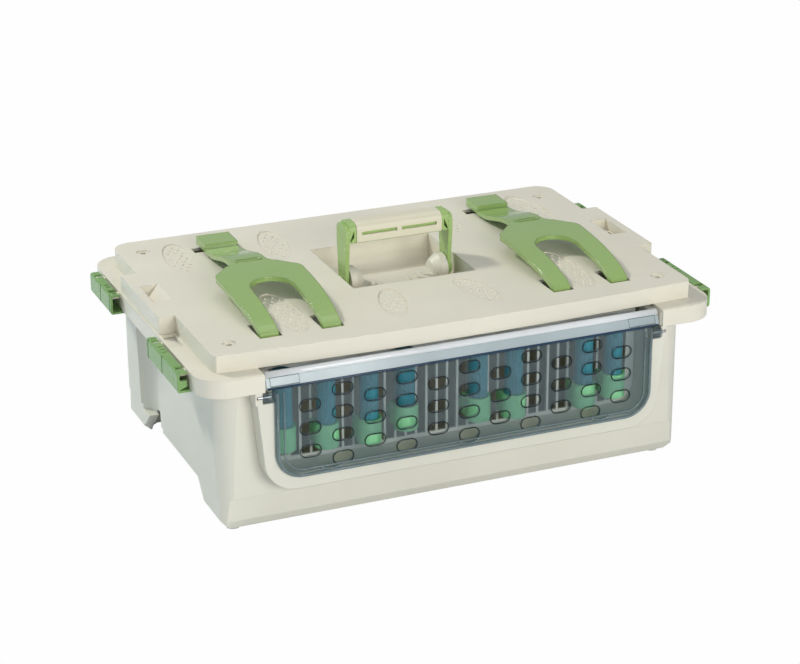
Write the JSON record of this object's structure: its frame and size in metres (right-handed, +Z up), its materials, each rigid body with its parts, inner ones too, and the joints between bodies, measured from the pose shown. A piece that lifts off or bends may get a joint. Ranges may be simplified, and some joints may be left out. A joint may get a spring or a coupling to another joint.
{
  "type": "specimen transport box",
  "caption": "Lidded specimen transport box with folding handle, sprung lid clips, end latches and a vented hinged window before a rack of capped tubes",
  "frame": {"origin": "on the ground, midway between the box's ends and between its front and back", "axes": "X along the front of the box, Y from front to back, Z up"},
  "size_m": [0.5472, 0.354, 0.2355],
  "materials": {
    "cream_shell": "satin",
    "cream_lid": "satin",
    "cream_rack": "satin",
    "clear_trim": "gloss",
    "rubber_foot": "matte",
    "smoke_clear": "gloss",
    "steel_pin": "satin",
    "handle_green": "gloss",
    "ivory_grip": "gloss",
    "clip_green": "gloss",
    "latch_green": "gloss",
    "cup_green": "gloss",
    "teal_tube": "gloss",
    "stopper_teal": "gloss"
  },
  "bodies": {
    "tub_body": {"tub": "cream_shell", "header_trim": "clear_trim", "rack_panel": "cream_rack", "feet": "rubber_foot", "flap_pins": "steel_pin", "holder_1": "cup_green", "holder_2": "cup_green", "holder_3": "cup_green", "holder_4": "cup_green", "holder_5": "cup_green", "holder_6": "cup_green", "holder_7": "cup_green", "holder_8": "cup_green", "tube_1": "teal_tube", "tube_2": "teal_tube", "tube_3": "teal_tube", "tube_4": "teal_tube", "tube_5": "teal_tube", "tube_6": "teal_tube", "tube_7": "teal_tube", "tube_8": "teal_tube", "stopper_1": "stopper_teal", "stopper_2": "stopper_teal", "stopper_3": "stopper_teal", "stopper_4": "stopper_teal", "stopper_5": "stopper_teal", "stopper_6": "stopper_teal", "stopper_7": "stopper_teal", "stopper_8": "stopper_teal"},
    "flap_body": {"front_flap": "smoke_clear"},
    "lid_body": {"lid": "cream_lid", "handle_pins": "handle_green", "clip_pins_left": "steel_pin", "clip_pins_right": "steel_pin", "pin_front_left": "steel_pin", "pin_front_right": "steel_pin", "pin_rear_left": "steel_pin", "pin_rear_right": "steel_pin"},
    "handle_body": {"handle_frame": "handle_green", "handle_grip": "ivory_grip"},
    "clip_left_body": {"clip_left": "clip_green"},
    "clip_right_body": {"clip_right": "clip_green"},
    "latch_front_left_body": {"latch_front_left": "latch_green"},
    "latch_front_right_body": {"latch_front_right": "latch_green"},
    "latch_rear_left_body": {"latch_rear_left": "latch_green"},
    "latch_rear_right_body": {"latch_rear_right": "latch_green"}
  },
  "joints": [
    {"name": "lid_lift", "type": "slide", "parent": "tub_body", "child": "lid_body", "axis": [0, 0, 1], "range_m": [0, 0.09]},
    {"name": "flap_hinge", "type": "hinge", "parent": "tub_body", "child": "flap_body", "pos_m": [0, -0.1714, 0.1445], "axis": [-1, 0, 0], "range_deg": [0, 90]},
    {"name": "handle_fold", "type": "hinge", "parent": "lid_body", "child": "handle_body", "pos_m": [0, 0.004, 0.1735], "axis": [-1, 0, 0], "range_deg": [0, 90]},
    {"name": "clip_left_hinge", "type": "hinge", "parent": "lid_body", "child": "clip_left_body", "pos_m": [-0.149, -0.122, 0.1795], "axis": [1, 0, 0], "range_deg": [0, 60]},
    {"name": "clip_right_hinge", "type": "hinge", "parent": "lid_body", "child": "clip_right_body", "pos_m": [0.149, -0.122, 0.1795], "axis": [1, 0, 0], "range_deg": [0, 60]},
    {"name": "latch_front_left_hinge", "type": "hinge", "parent": "lid_body", "child": "latch_front_left_body", "pos_m": [-0.268, -0.096, 0.164], "axis": [0, 1, 0], "range_deg": [0, 100]},
    {"name": "latch_front_right_hinge", "type": "hinge", "parent": "lid_body", "child": "latch_front_right_body", "pos_m": [0.268, -0.096, 0.164], "axis": [0, -1, 0], "range_deg": [0, 100]},
    {"name": "latch_rear_left_hinge", "type": "hinge", "parent": "lid_body", "child": "latch_rear_left_body", "pos_m": [-0.268, 0.103, 0.164], "axis": [0, 1, 0], "range_deg": [0, 100]},
    {"name": "latch_rear_right_hinge", "type": "hinge", "parent": "lid_body", "child": "latch_rear_right_body", "pos_m": [0.268, 0.103, 0.164], "axis": [0, -1, 0], "range_deg": [0, 100]}
  ]
}
